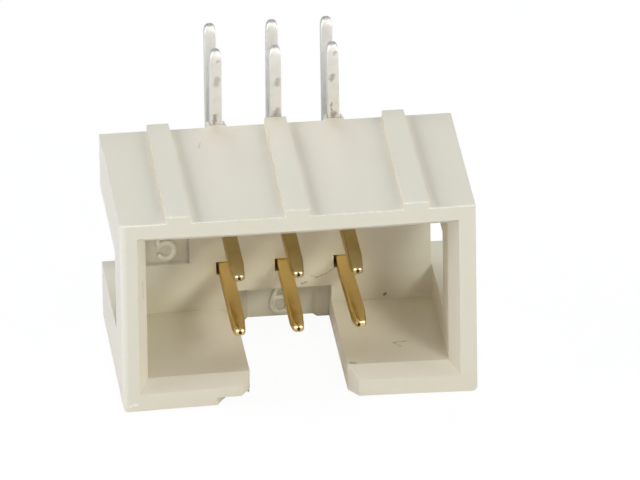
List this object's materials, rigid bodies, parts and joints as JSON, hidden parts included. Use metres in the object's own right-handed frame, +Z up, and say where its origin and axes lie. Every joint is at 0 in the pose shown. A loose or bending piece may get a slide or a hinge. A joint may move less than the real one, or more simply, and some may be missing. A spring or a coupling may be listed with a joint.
{
  "type": "right-angle box header",
  "caption": "Shrouded right-angle pin header for a flat-cable socket: moulded box with a key notch, end slots and stand-off ribs, and bent square contacts with solder tails.",
  "frame": {"origin": "under the middle of the whole part, on the keyed face that it lies on", "axes": "+Z up along the solder tails, towards the board; -Y out of the mouth; +X along the rows of contacts, away from the mark at the first contact"},
  "size_m": [0.0152, 0.0124, 0.0123],
  "materials": {
    "housing": "light warm grey glass-filled polyester, satin from the mould",
    "contact": "gold flash on the mating end, tin on the solder tail"
  },
  "bodies": {
    "root": {"housing": "housing", "contact_1": "contact", "contact_2": "contact", "contact_3": "contact", "contact_4": "contact", "contact_5": "contact", "contact_6": "contact"}
  },
  "joints": []
}
